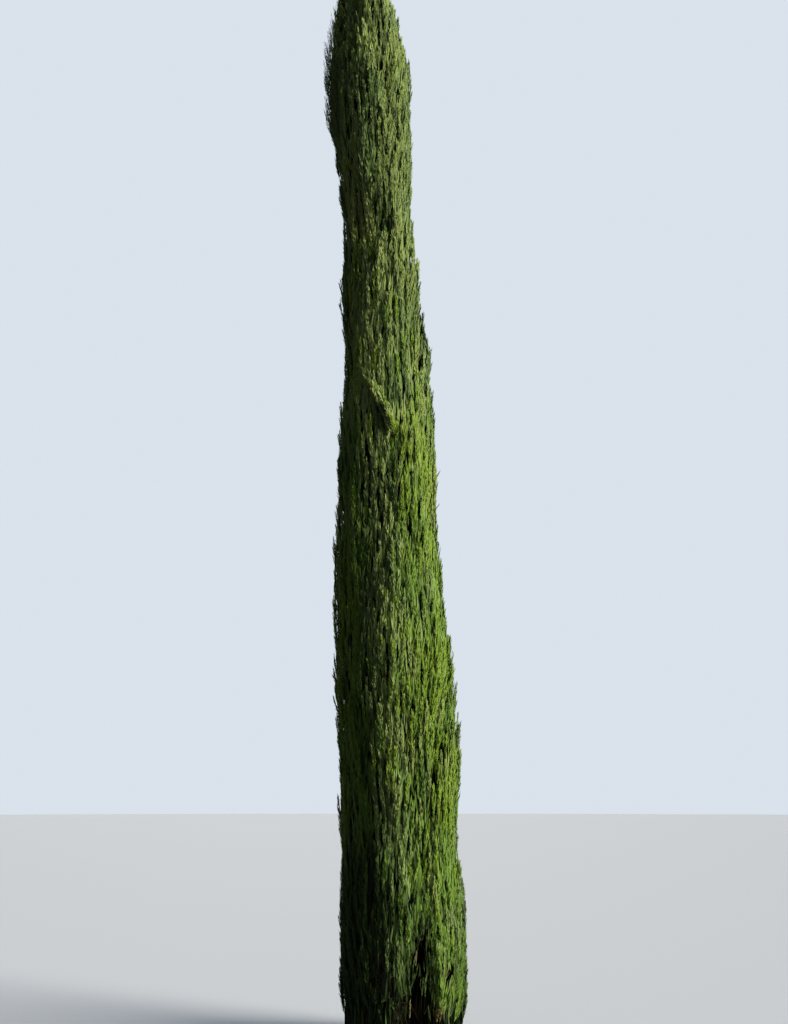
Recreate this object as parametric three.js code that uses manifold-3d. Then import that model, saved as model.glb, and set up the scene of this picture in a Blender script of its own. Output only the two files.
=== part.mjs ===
// A narrow columnar cypress, rooted in level ground and leaning a little to the left.
// Millimetres, +Z up. The origin is the middle of the trunk's flat cut at ground level.
// -Y is the side that the object is seen from, and +X is to the right of that view.
//
// One tapering trunk with a root flare runs up through the whole crown. Short boughs leave it
// in a spiral, turn up at once, and each one carries a plume: a steep, flame-shaped mass of
// foliage, one closed and uneven solid. An older plume starts lower and always lies over a
// younger one, so each plume is cut to shape by the ones below it. The lowest plumes stand
// side by side as a skirt round the foot, with a hollow at the front right. A leader plume
// closes round the tip of the trunk, a loose plume stands off the upper left side, and one
// sprig leans across the front.

import * as THREE from "three";
import { mergeVertices } from "three/addons/utils/BufferGeometryUtils.js";
import Module from "manifold-3d";

// ---------------------------------------------------------------- driving dimensions

const HEIGHT = 8600; // ground to the tip of the leader
const SEED = 2043;
const GAP = 0.6; // clearance where one piece is cut by its neighbour

// How far the crown reaches from the trunk's line, to the left and right of the view.
const CROWN = [
  { z: 0, left: 404, right: 392 },
  { z: 110, left: 446, right: 426 },
  { z: 360, left: 428, right: 446 },
  { z: 740, left: 421, right: 438 },
  { z: 1270, left: 399, right: 390 },
  { z: 1800, left: 399, right: 439 },
  { z: 2350, left: 407, right: 478 },
  { z: 2910, left: 380, right: 416 },
  { z: 3480, left: 366, right: 369 },
  { z: 4060, left: 338, right: 400 },
  { z: 4660, left: 270, right: 351 },
  { z: 5270, left: 271, right: 326 },
  { z: 5740, left: 248, right: 279 },
  { z: 6380, left: 303, right: 301 },
  { z: 6860, left: 270, right: 323 },
  { z: 7360, left: 256, right: 253 },
  { z: 7800, left: 190, right: 194 },
  { z: 8200, left: 112, right: 112 },
  { z: HEIGHT, left: 24, right: 24 },
];

const TRUNK = {
  top: 8180, // the wood ends inside the leader plume
  footRadius: 80, // above the root flare
  tipRadius: 6,
  flare: 30, // what the root flare adds to the radius at the ground
  flareHeight: 150, // over which the flare fades to a third
  lobes: 5, // buttresses round the foot
  lobeDepth: 13,
  lean: 0.026, // to the left, for each unit of height
  bend: 1.6e-6, // and the lean grows on the way up
  sway: 14, // small wander of the stem
  sides: 14,
  rings: 16,
};

const SKIRT = {
  count: 8,
  hollowAzimuth: -71, // the hollow in the skirt, at the front right
  hollowWidth: 74, // degrees between the two plumes beside it
  foot: 32, // the lowest edge above the ground
  footSpread: 75,
  length: 1960,
  spread: 31, // half the angle that a plume takes round the trunk
  footBlunt: 0.22, // blunter than the plumes above
};

const SPIRAL = {
  count: 18,
  turn: 137.5, // degrees round the trunk from one bough to the next
  firstAzimuth: -96,
  firstFoot: 500,
  lastFoot: 6760,
  lowLength: 2620,
  highLength: 1330,
  spread: 57,
};

const PLUME = {
  sides: 8,
  rings: 9,
  footBlunt: 0.42, // how bluntly a plume starts, 0 for square
  tipBlunt: 0.64, // how bluntly it ends
  uneven: 0.055, // of the crown's half width
  twist: 18, // degrees that a plume turns round the trunk on its way up
  core: 62, // bare space round the trunk where the boughs rise
};

// Round the tip of the trunk.
const LEADER = { foot: 6780, tip: HEIGHT, radius: 108 };

// A thin plume off the upper left side, with sky showing through it.
const LOOSE = { azimuth: 184, foot: 6020, tip: 7580, inner: 150, outer: 326, tipOuter: 222, spread: 32 };

// A sprig bent across the front, out of line with the rest.
const SPRIG = { from: [-58, -322, 3990], by: [-166, -348, 4290], to: [-352, -246, 4600], radius: 48 };

const BOUGH = { radius: 23, endRadius: 13, rise: 270, highRadius: 11, highEndRadius: 6, sides: 6, rings: 4 };

const LOOKS = {
  bark: { color: 0x6a594a, roughness: 0.95, metalness: 0 },
  foliage: { color: 0x47602a, roughness: 0.85, metalness: 0 },
  foliage_light: { color: 0x5c7733, roughness: 0.85, metalness: 0 },
};

// ---------------------------------------------------------------- small tools

const radians = (a) => (a * Math.PI) / 180;
const clamp = (x, lo, hi) => Math.min(hi, Math.max(lo, x));
const mix = (a, b, t) => a + (b - a) * t;
const ease = (t) => clamp(t, 0, 1) ** 2 * (3 - 2 * clamp(t, 0, 1));

// Repeatable random numbers from 0 to 1.
function randomFrom(seed) {
  let a = seed >>> 0;
  return () => {
    a = (a + 0x6d2b79f5) >>> 0;
    let t = a;
    t = Math.imul(t ^ (t >>> 15), t | 1);
    t ^= t + Math.imul(t ^ (t >>> 7), t | 61);
    return ((t ^ (t >>> 14)) >>> 0) / 4294967296;
  };
}

// The crown's reach from the trunk's line, at a height and an angle round the trunk.
const outline = Object.fromEntries(
  ["left", "right"].map((side) => [
    side,
    new THREE.CatmullRomCurve3(CROWN.map((row) => new THREE.Vector3(row.z, row[side], 0))),
  ]),
);
function reachAt(z, angle) {
  const last = CROWN.length - 1;
  let i = 0;
  while (i < last - 1 && CROWN[i + 1].z < z) i += 1;
  const t = clamp((z - CROWN[i].z) / (CROWN[i + 1].z - CROWN[i].z), 0, 1);
  const left = outline.left.getPoint((i + t) / last).y;
  const right = outline.right.getPoint((i + t) / last).y;
  return mix(left, right, (1 + Math.cos(angle)) / 2);
}

// The middle of the trunk at a height, and its radius.
function trunkAt(z) {
  const up = z / HEIGHT;
  const sway = TRUNK.sway * ease(up / 0.15) * (1 - up);
  return new THREE.Vector3(
    -(TRUNK.lean * z + TRUNK.bend * z * z) + sway * Math.sin(11 * up),
    sway * Math.sin(8 * up + 1.2),
    z,
  );
}
function trunkRadius(z) {
  const t = clamp(z / TRUNK.top, 0, 1);
  return (
    mix(TRUNK.footRadius, TRUNK.tipRadius, t ** 0.9) + TRUNK.flare * Math.exp(-z / TRUNK.flareHeight)
  );
}

// A closed geometry with each of its points moved by a function.
function shaped(geometry, move) {
  geometry.deleteAttribute("normal");
  geometry.deleteAttribute("uv");
  const merged = mergeVertices(geometry, 1e-5);
  const at = merged.getAttribute("position");
  const point = new THREE.Vector3();
  for (let i = 0; i < at.count; i += 1) {
    move(point.fromBufferAttribute(at, i));
    at.setXYZ(i, point.x, point.y, point.z);
  }
  return mergeVertices(merged, 1e-3);
}

// ---------------------------------------------------------------- joining and cutting

const wasm = await Module();
wasm.setup();

function solid(geometry) {
  return new wasm.Manifold(
    new wasm.Mesh({
      numProp: 3,
      vertProperties: new Float32Array(geometry.getAttribute("position").array),
      triVerts: new Uint32Array(geometry.index.array),
    }),
  );
}

function boxesMeet(a, b) {
  const [p, q] = [a.boundingBox(), b.boundingBox()];
  return [0, 1, 2].every((k) => p.min[k] < q.max[k] && q.min[k] < p.max[k]);
}

const cut = (a, b) => (boxesMeet(a, b) ? a.subtract(b) : a);

// The largest body of a solid, without the scraps that cutting leaves.
const largest = (made) =>
  made.decompose().reduce((best, body) => (body.volume() > best.volume() ? body : best));

// The body of a solid that comes nearest to a point.
function nearest(made, point) {
  const away = (body) => {
    const box = body.boundingBox();
    return point
      .toArray()
      .reduce((sum, x, k) => sum + Math.max(box.min[k] - x, 0, x - box.max[k]) ** 2, 0);
  };
  return made.decompose().reduce((best, body) => (away(body) < away(best) ? body : best));
}

function geometryOf(made) {
  const mesh = made.getMesh();
  const points = new Float32Array(mesh.numVert * 3);
  for (let i = 0; i < mesh.numVert; i += 1)
    for (let k = 0; k < 3; k += 1) points[i * 3 + k] = mesh.vertProperties[i * mesh.numProp + k];
  const geometry = new THREE.BufferGeometry();
  geometry.setAttribute("position", new THREE.BufferAttribute(points, 3));
  geometry.setIndex(new THREE.BufferAttribute(new Uint32Array(mesh.triVerts), 1));
  geometry.computeVertexNormals();
  return geometry;
}

// ---------------------------------------------------------------- shapes

// The trunk: a turned taper, flared into lobes at the ground, leaned and bent.
function trunk(grow = 0) {
  const profile = [new THREE.Vector2(0, 0)];
  for (let i = 0; i <= TRUNK.rings; i += 1) {
    const z = TRUNK.top * (i / TRUNK.rings) ** 1.8;
    profile.push(new THREE.Vector2(trunkRadius(z) + grow, z));
  }
  profile.push(new THREE.Vector2(0, TRUNK.top + 8 + grow * 2));
  return shaped(new THREE.LatheGeometry(profile, TRUNK.sides), (p) => {
    const angle = Math.atan2(p.x, p.z);
    const radius = Math.hypot(p.x, p.z);
    const z = p.y;
    const lobe =
      TRUNK.lobeDepth * Math.exp(-z / TRUNK.flareHeight) * Math.cos(TRUNK.lobes * angle + 0.7);
    const reach = radius > 1 ? radius + lobe : 0;
    const middle = trunkAt(z);
    p.set(middle.x + reach * Math.cos(angle), middle.y + reach * Math.sin(angle), z);
  });
}

// How full a plume is on its way from foot to tip, 1 where it is fullest.
function fullness(t, foot = PLUME.footBlunt, tip = PLUME.tipBlunt) {
  const fullest = foot / (foot + tip);
  const x = clamp(t, 0, 1);
  return (x ** foot * (1 - x) ** tip) / (fullest ** foot * (1 - fullest) ** tip);
}

// The line that a plume follows: its angle, its depth and its middle at each height.
function plumeAt(spec, t) {
  const z = mix(spec.foot, spec.tip, t);
  const angle = radians(spec.azimuth + spec.twist * (t - 0.35)) + 0.05 * Math.sin(7 * t + spec.wave);
  const reach = spec.outer
    ? mix(spec.outer, spec.tipOuter, ease((t - 0.5) / 0.5))
    : reachAt(z, angle) * spec.reach;
  const core = trunkRadius(z) + PLUME.core;
  const outer = mix(mix(core, reach, spec.footReach), reach, ease(t / spec.footRun));
  const inner = spec.inner ?? mix(mix(core, reach, spec.innerFoot), reach * 0.8, t ** 1.25);
  return { z, angle, outer, inner, middle: (outer + inner) / 2 };
}

// A flame-shaped plume, wrapped round the trunk's line.
function plume(spec, grow = 0) {
  const random = randomFrom(spec.seed);
  const waves = Array.from({ length: 5 }, () => random() * 2 * Math.PI);
  const place = (at, radius, angle) => {
    const middle = trunkAt(at.z);
    return new THREE.Vector3(middle.x + radius * Math.cos(angle), middle.y + radius * Math.sin(angle), at.z);
  };
  const fill = (v) => (v < 1e-5 || v > 1 - 1e-5 ? 0 : fullness(v ** 1.1, spec.footBlunt));
  const leanOut = (at, v, full) =>
    (at.outer - at.middle) * 0.7 * ease((v ** 1.1 - 0.5) / 0.5) * (1 - 0.8 * Math.sqrt(full));
  const heart = (v) => {
    const at = plumeAt(spec, v ** 1.1);
    const radius = Math.max(trunkRadius(at.z) + 8 - grow, at.middle + leanOut(at, v, fill(v)));
    return place(at, radius, at.angle);
  };
  return shaped(new THREE.SphereGeometry(1, PLUME.sides, PLUME.rings), (p) => {
    const v = clamp(Math.acos(clamp(-p.y, -1, 1)) / Math.PI, 0, 1);
    if (v < 1e-5 || v > 1 - 1e-5) {
      // A grown end moves along the plume's own line, so that it covers the plain one.
      const end = heart(Math.round(v));
      const next = heart(v < 0.5 ? 1 / PLUME.rings : 1 - 1 / PLUME.rings);
      p.copy(end).addScaledVector(end.clone().sub(next).normalize(), grow * (v < 0.5 ? 2 : 4));
      return;
    }
    const round = Math.atan2(-p.z, p.x);
    const at = plumeAt(spec, v ** 1.1);
    const full = fill(v);
    const rough =
      PLUME.uneven *
      at.outer *
      (Math.sin(10 * v + waves[0]) * Math.cos(round + waves[1]) +
        0.6 * Math.sin(17 * v + waves[2]) * Math.cos(2 * round + waves[3]));
    const deep = ((at.outer - at.inner) / 2) * Math.sqrt(full);
    const radius = Math.max(
      trunkRadius(at.z) + 8 - grow,
      at.middle +
        leanOut(at, v, full) +
        (deep + grow) * Math.cos(round) +
        rough * Math.max(0.2, Math.cos(round)) * full,
    );
    const wide =
      radians(spec.spread) * full * (1 + 0.13 * Math.sin(9 * v + waves[4])) + grow / Math.max(radius, 60);
    p.copy(place(at, radius, at.angle + wide * Math.sin(round)));
  });
}

// The plume round the tip of the trunk.
function leader(grow = 0) {
  return shaped(new THREE.SphereGeometry(1, PLUME.sides, PLUME.rings + 1), (p) => {
    const v = Math.acos(clamp(-p.y, -1, 1)) / Math.PI;
    const pole = v < 1e-5 || v > 1 - 1e-5;
    const round = Math.atan2(-p.z, p.x);
    const z = mix(LEADER.foot, LEADER.tip, v) + (pole ? (v < 0.5 ? -grow : 4 * grow) : 0);
    const full = pole ? 0 : fullness(v, 0.6, 0.9);
    const radius = pole ? 0 : LEADER.radius * full * (1 + 0.1 * Math.sin(3 * round + 7 * v)) + grow;
    const middle = trunkAt(z);
    p.set(middle.x + radius * Math.cos(round), middle.y + radius * Math.sin(round), z);
  });
}

// A closed spindle along a curve through three points.
function spindle(spec, grow = 0) {
  const curve = new THREE.CatmullRomCurve3(
    [spec.from, spec.by, spec.to].map((q) => new THREE.Vector3(...q)),
  );
  const steps = 48;
  const frames = curve.computeFrenetFrames(steps);
  return shaped(new THREE.SphereGeometry(1, 7, 8), (p) => {
    const v = Math.acos(clamp(-p.y, -1, 1)) / Math.PI;
    const pole = v < 1e-5 || v > 1 - 1e-5;
    const round = Math.atan2(-p.z, p.x);
    const radius = pole ? 0 : spec.radius * fullness(v, 0.5, 0.7) * (1 + 0.14 * Math.sin(3 * round + 5 * v)) + grow;
    const i = Math.round(v * steps);
    p.copy(curve.getPointAt(v))
      .addScaledVector(frames.normals[i], radius * Math.cos(round))
      .addScaledVector(frames.binormals[i], radius * Math.sin(round));
  });
}

// A tapering limb along a curve, closed at both ends.
function limb(spec, grow = 0) {
  const curve = new THREE.CatmullRomCurve3(spec.points);
  const steps = 48;
  const frames = curve.computeFrenetFrames(steps);
  const profile = [new THREE.Vector2(0, 0)];
  for (let i = 0; i <= BOUGH.rings; i += 1)
    profile.push(new THREE.Vector2(mix(spec.radius, spec.endRadius, i / BOUGH.rings) + grow, i / BOUGH.rings));
  profile.push(new THREE.Vector2(0, 1));
  return shaped(new THREE.LatheGeometry(profile, BOUGH.sides), (p) => {
    const t = clamp(p.y, 0, 1);
    const i = Math.round(t * steps);
    const [x, y] = [p.x, -p.z];
    p.copy(curve.getPointAt(t)).addScaledVector(frames.normals[i], x).addScaledVector(frames.binormals[i], y);
  });
}

// ---------------------------------------------------------------- what stands where

const two = (i) => String(i + 1).padStart(2, "0");

const skirt = Array.from({ length: SKIRT.count }, (_, i) => {
  const random = randomFrom(SEED + 101 * i);
  const step = (360 - SKIRT.hollowWidth) / (SKIRT.count - 1);
  const foot = SKIRT.foot + SKIRT.footSpread * random();
  return {
    name: `skirt_plume_${two(i)}`,
    bough: `skirt_bough_${two(i)}`,
    azimuth: SKIRT.hollowAzimuth + SKIRT.hollowWidth / 2 + step * i,
    foot,
    tip: foot + SKIRT.length * mix(0.85, 1.15, random()),
    spread: SKIRT.spread,
    twist: PLUME.twist * (random() - 0.5),
    reach: 1.0,
    footReach: 0.94,
    footBlunt: SKIRT.footBlunt,
    footRun: 0.12,
    innerFoot: 0.4,
    wave: random() * 6,
    seed: SEED + 7 * i,
    look: "foliage",
  };
});

const spiral = Array.from({ length: SPIRAL.count }, (_, i) => {
  const random = randomFrom(SEED + 977 * (i + 3));
  const t = i / (SPIRAL.count - 1);
  const foot = mix(SPIRAL.firstFoot, SPIRAL.lastFoot, t) + 80 * (random() - 0.5);
  const length = mix(SPIRAL.lowLength, SPIRAL.highLength, t ** 1.2) * mix(0.9, 1.1, random());
  return {
    name: `plume_${two(i)}`,
    bough: `bough_${two(i)}`,
    azimuth: SPIRAL.firstAzimuth + SPIRAL.turn * i,
    foot,
    tip: foot + length,
    spread: SPIRAL.spread * mix(0.92, 1.08, random()),
    twist: PLUME.twist * 2 * (random() - 0.5),
    reach: mix(0.98, 1.02, random()),
    footReach: 0.16,
    footRun: 0.36,
    innerFoot: 0.0,
    wave: random() * 6,
    seed: SEED + 31 * i + 5,
    look: t < 0.6 ? "foliage" : "foliage_light",
  };
});

const loose = {
  ...LOOSE,
  name: "loose_plume",
  bough: "loose_bough",
  twist: -6,
  reach: 1,
  footReach: 0.5,
  footRun: 0.3,
  innerFoot: 0.5,
  wave: 2,
  seed: SEED + 77,
  look: "foliage",
};

// A bough leaves the trunk below its plume, turns up, and ends where it enters the plume.
function boughOf(spec) {
  const entry = plumeAt(spec, spec === loose ? 0.2 : 0.16);
  const up = clamp(entry.z / HEIGHT, 0, 1);
  const rise = Math.min(Math.max(BOUGH.rise, entry.middle * 1.15), entry.z - 75);
  const root = trunkAt(entry.z - rise);
  const end = trunkAt(entry.z);
  const at = (out, rising) =>
    new THREE.Vector3(
      mix(root.x, end.x, rising) + Math.cos(entry.angle) * entry.middle * out,
      mix(root.y, end.y, rising) + Math.sin(entry.angle) * entry.middle * out,
      root.z + rise * rising,
    );
  return {
    name: spec.bough,
    plume: spec.name,
    points: [at(0.06, 0), at(0.5, 0.17), at(0.86, 0.52), at(1, 1)],
    radius: mix(BOUGH.radius, BOUGH.highRadius, up),
    endRadius: mix(BOUGH.endRadius, BOUGH.highEndRadius, up),
  };
}

const stem = solid(trunk());
const stemGrown = solid(trunk(GAP));

const boughs = [...skirt, ...spiral, loose].map(boughOf);
for (const bough of boughs) {
  bough.whole = solid(limb(bough));
  bough.grown = solid(limb(bough, GAP));
}

const plumes = [...skirt, ...spiral, loose].map((spec) => ({
  ...spec,
  whole: solid(plume(spec)),
  grown: solid(plume(spec, GAP)),
}));
plumes.push({ name: "leader_plume", look: "foliage_light", foot: -1, whole: solid(leader()), grown: solid(leader(GAP)) });
plumes.push({ name: "leaning_sprig", look: "foliage_light", foot: -2, whole: solid(spindle(SPRIG)), grown: solid(spindle(SPRIG, GAP)) });

// From the lowest foot up: each plume is cut by the ones before it. The sprig and the leader
// come first, because the others lie behind the one and lean against the other.
plumes.sort((a, b) => a.foot - b.foot);
plumes.forEach((one, i) => {
  let made = cut(one.whole, stemGrown);
  for (const bough of boughs) if (bough.plume !== one.name) made = cut(made, bough.grown);
  for (const older of plumes.slice(0, i)) made = cut(made, older.grown);
  one.made = largest(made);
});

boughs.forEach((bough, i) => {
  let made = cut(bough.whole, stemGrown);
  made = cut(made, plumes.find((one) => one.name === bough.plume).grown);
  for (const other of boughs.slice(0, i)) made = cut(made, other.grown);
  bough.made = nearest(made, bough.points[0]);
});

// ---------------------------------------------------------------- the group

const cypress = new THREE.Group();
cypress.name = "italian_cypress";

const looks = Object.fromEntries(
  Object.entries(LOOKS).map(([name, look]) => [name, new THREE.MeshStandardMaterial({ name, ...look })]),
);

function add(name, made, look) {
  const mesh = new THREE.Mesh(geometryOf(made), looks[look]);
  mesh.name = name;
  cypress.add(mesh);
}

add("trunk", stem, "bark");
for (const bough of boughs) add(bough.name, bough.made, "bark");
for (const one of plumes) add(one.name, one.made, one.look);

export default cypress;
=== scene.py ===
"""A slim columnar cypress in full leaf, rooted in level ground.

The wood comes first: a trunk with ridged bark, a bough for each plume that runs on from the
trunk through the plume, and branches off each bough by a golden-angle rule. Strands of foliage
are then spread over what shows of each plume. A strand is a thin twig that leaves the nearest
branch and rises to the surface, with sprays all round it, and each spray is a stem with pointed
shoots. Older sprays fill the shade behind them, dark partly as old foliage is and partly as painted
shade. Some colour numbers also carry painted light and shade by where the key light falls.
Everything is in metres.
"""

import math

import bpy
import numpy as np
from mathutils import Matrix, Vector
from mathutils.bvhtree import BVHTree


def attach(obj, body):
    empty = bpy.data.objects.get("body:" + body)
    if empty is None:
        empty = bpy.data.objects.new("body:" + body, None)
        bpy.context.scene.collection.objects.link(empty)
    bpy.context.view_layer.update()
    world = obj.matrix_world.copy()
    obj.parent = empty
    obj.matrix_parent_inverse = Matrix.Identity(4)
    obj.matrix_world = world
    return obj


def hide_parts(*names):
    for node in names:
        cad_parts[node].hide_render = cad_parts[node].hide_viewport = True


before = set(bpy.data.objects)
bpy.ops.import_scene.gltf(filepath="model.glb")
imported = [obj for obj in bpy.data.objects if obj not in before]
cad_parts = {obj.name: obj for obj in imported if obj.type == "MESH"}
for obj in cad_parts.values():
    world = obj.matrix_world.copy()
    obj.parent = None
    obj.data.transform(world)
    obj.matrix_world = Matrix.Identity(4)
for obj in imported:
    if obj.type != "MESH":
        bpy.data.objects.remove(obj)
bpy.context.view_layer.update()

# ---------------------------------------------------------------- sizes and counts

SEED = 11
YOUNG_TRIANGLES = 640_000  # of shoots over the whole crown
GOLDEN = math.radians(137.5)
UP = np.array([0.0, 0.0, 1.0])

STRAND = dict(low=0.24, high=0.42, sprays=9, old=3)  # length, and what grows on each
SPRAY = dict(low=0.070, high=0.115, shoots=8)
SHOOT = dict(length=0.042, radius=0.0042)
TUFT = dict(per_m2=70, stretch=3.6, gather=0.12, proud=0.005)  # strands gather in tufts, taller than wide
OLD = dict(length=0.13, width=0.036)
UNDER = dict(low=0.08, high=0.15, width=0.105, per_m2=2100, near=0.002, far=0.018)  # finer sprays just under the surface
BRIDGE = dict(front=0.13, back=0.26, least=0.020, deepest=0.08)  # dips narrower than twice these are closed over
INNER = dict(longest=0.26, widest=0.095, per_m2=430)  # old foliage inside, larger where it is deeper
FRINGE = dict(count=520, recess=0.022, low=0.07, high=0.12, lean=17, edge=-0.612)  # thin sprays that stand out from the loose plume

# Grooves between plumes, thinned of strands and darkened with painted shade: angle round the trunk, heights, half
# width.
GROOVES = [
    (-75, 5.40, 5.95, 0.030),
    (-58, 4.42, 4.72, 0.030),
    (-82, 4.70, 4.98, 0.028),
    (-75, 4.20, 4.60, 0.032),
    (-94, 4.14, 4.34, 0.040),
    (-79, 3.60, 4.08, 0.028),
    (-60, 1.58, 1.98, 0.026),
    (-80, 0.82, 1.00, 0.022),
    (-75, 0.42, 0.72, 0.040),
]
# The open foot is also where the sprays and twigs get painted shade.
HOLLOWS = [(-70, 13, 0.74), (-78, 20, 0.46), (-98, 36, 0.34)]  # the open foot at the front: angle, half width, top
DEAD_PATCH = dict(angle=-51, top=0.46)  # brown sprays beside it
SWELL = [(180, 3.12, 0.34), (180, 5.20, 0.24), (180, 2.12, 0.34), (180, 1.50, 0.22), (0, 2.17, 0.26), (0, 4.86, 0.26)]  # fuller places: angle, height, half height
BRUSH = dict(count=480, low=0.08, high=0.18)  # dead growth that stands round the trunk's foot


def srgb(r, g, b):
    """Red, green and blue from 0 to 255 as the light they stand for."""
    c = np.array([r, g, b], float) / 255
    return tuple(np.where(c <= 0.04045, c / 12.92, ((c + 0.055) / 1.055) ** 2.4))


# From the brightest young growth to the darkest old, then the dead. The darker steps also serve as painted shade
# wherever a place's colour number is pushed up for shade.
GREENS = [
    ("young", srgb(140, 160, 60)),
    ("light", srgb(131, 154, 54)),
    ("fresh", srgb(122, 148, 50)),
    ("mid", srgb(112, 139, 46)),
    ("cool", srgb(98, 128, 50)),
    ("deep", srgb(84, 112, 42)),
    ("shade", srgb(60, 80, 38)),
    ("old", srgb(36, 48, 25)),
    ("dead", srgb(90, 79, 50)),
    ("straw", srgb(118, 105, 68)),
]
DEAD, STRAW = 8, 9
# The same tones drier and dustier, for more and more of the sprays towards the top.
DRY = 10
GREENS += [
    ("dry_young", srgb(151, 163, 88)),
    ("dry_light", srgb(142, 157, 82)),
    ("dry_fresh", srgb(136, 152, 79)),
    ("dry_mid", srgb(122, 140, 72)),
    ("dry_cool", srgb(107, 127, 71)),
    ("dry_deep", srgb(91, 112, 60)),
]
# Painted light: lighter grey-green for the sprays along the edge of the shade, standing in for the light they catch
# there.
PAINTED_EDGE_LIGHT = len(GREENS)
GREENS += [("painted_light_pale_green", srgb(150, 168, 98)), ("painted_light_grey_green", srgb(128, 148, 82)), ("painted_light_deep_green", srgb(100, 122, 66))]

# ---------------------------------------------------------------- small tools


def unit(v):
    return v / np.maximum(np.linalg.norm(v, axis=-1, keepdims=True), 1e-12)


def basis(d):
    """Two directions square to each of d and to each other, right-handed with it."""
    ref = np.where(np.abs(d[..., 2:3]) < 0.92, UP, np.array([1.0, 0.0, 0.0]))
    u = unit(np.cross(d, ref))
    return u, np.cross(d, u)


def ease(t):
    t = np.clip(t, 0, 1)
    return t * t * (3 - 2 * t)


def surface(node):
    """A solid's points and triangles."""
    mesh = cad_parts[node].data
    co = np.empty(len(mesh.vertices) * 3)
    mesh.vertices.foreach_get("co", co)
    mesh.calc_loop_triangles()
    tri = np.empty(len(mesh.loop_triangles) * 3, np.int64)
    mesh.loop_triangles.foreach_get("vertices", tri)
    return co.reshape(-1, 3), tri.reshape(-1, 3)


def scatter(co, tri, count, rng):
    """Points spread evenly over a surface, with the surface's normals there."""
    a, b, c = co[tri[:, 0]], co[tri[:, 1]], co[tri[:, 2]]
    n = np.cross(b - a, c - a)
    area = np.linalg.norm(n, axis=1) / 2
    pick = rng.choice(len(tri), count, p=area / area.sum())
    r1, r2 = np.sqrt(rng.random(count)), rng.random(count)
    p = (1 - r1)[:, None] * a[pick] + (r1 * (1 - r2))[:, None] * b[pick] + (r1 * r2)[:, None] * c[pick]
    return p, unit(n[pick]), area.sum()


def volume(co, tri):
    a, b, c = co[tri[:, 0]], co[tri[:, 1]], co[tri[:, 2]]
    return float(np.abs(np.einsum("ij,ij->i", a, np.cross(b, c)).sum()) / 6)


def spread(points, count, stretch, start):
    """The numbers of points that lie furthest apart, in a space that is stretched upwards."""
    q = points / np.array([1, 1, stretch])
    count = min(count, len(q))
    chosen = [start % len(q)]
    away = ((q - q[chosen[0]]) ** 2).sum(1)
    for _ in range(count - 1):
        i = int(np.argmax(away))
        chosen.append(i)
        away = np.minimum(away, ((q - q[i]) ** 2).sum(1))
    return np.array(chosen)


def bezier(a, b, c, t):
    """Points on quadratic curves; a, b and c are (n, 3) and t is (k,) or (n, k)."""
    t = np.broadcast_to(t, (len(a), np.shape(t)[-1]))[..., None]
    return (1 - t) ** 2 * a[:, None] + 2 * t * (1 - t) * b[:, None] + t**2 * c[:, None]


def bezier_slope(a, b, c, t):
    t = np.broadcast_to(t, (len(a), np.shape(t)[-1]))[..., None]
    return unit(2 * (1 - t) * (b - a)[:, None] + 2 * t * (c - b)[:, None])


class Joined:
    """One mesh collected from arrays of points, triangles and colour numbers."""

    def __init__(self):
        self.points, self.tris, self.looks, self.count = [], [], [], 0

    def add(self, points, tris, looks):
        points = points.reshape(-1, 3)
        tris = tris.reshape(-1, 3)
        self.points.append(points)
        self.tris.append(tris + self.count)
        self.looks.append(np.broadcast_to(np.asarray(looks, np.int32), (len(tris),)))
        self.count += len(points)

    def triangles(self):
        return sum(len(t) for t in self.tris)

    def build(self, name, materials, nodes=()):
        points = np.concatenate(self.points)
        points[:, 2] = np.maximum(points[:, 2], 0.004) if name != "trunk_bark" else points[:, 2]
        tris = np.concatenate(self.tris)
        looks = np.concatenate(self.looks)
        used = np.unique(looks)
        renumber = np.zeros(used.max() + 1, np.int32)
        renumber[used] = np.arange(len(used))
        mesh = bpy.data.meshes.new(name)
        mesh.vertices.add(len(points))
        mesh.vertices.foreach_set("co", points.astype(np.float32).ravel())
        mesh.loops.add(tris.size)
        mesh.loops.foreach_set("vertex_index", tris.astype(np.int32).ravel())
        mesh.polygons.add(len(tris))
        mesh.polygons.foreach_set("loop_start", np.arange(0, tris.size, 3, dtype=np.int32))
        mesh.polygons.foreach_set("material_index", renumber[looks])
        mesh.polygons.foreach_set("use_smooth", np.ones(len(tris), bool))
        for i in used:
            mesh.materials.append(materials[i])
        mesh.update(calc_edges=True)
        mesh.validate()
        piece = bpy.data.objects.new(name, mesh)
        bpy.context.scene.collection.objects.link(piece)
        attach(piece, "root")
        if nodes:
            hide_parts(*nodes)
        return piece


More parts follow.
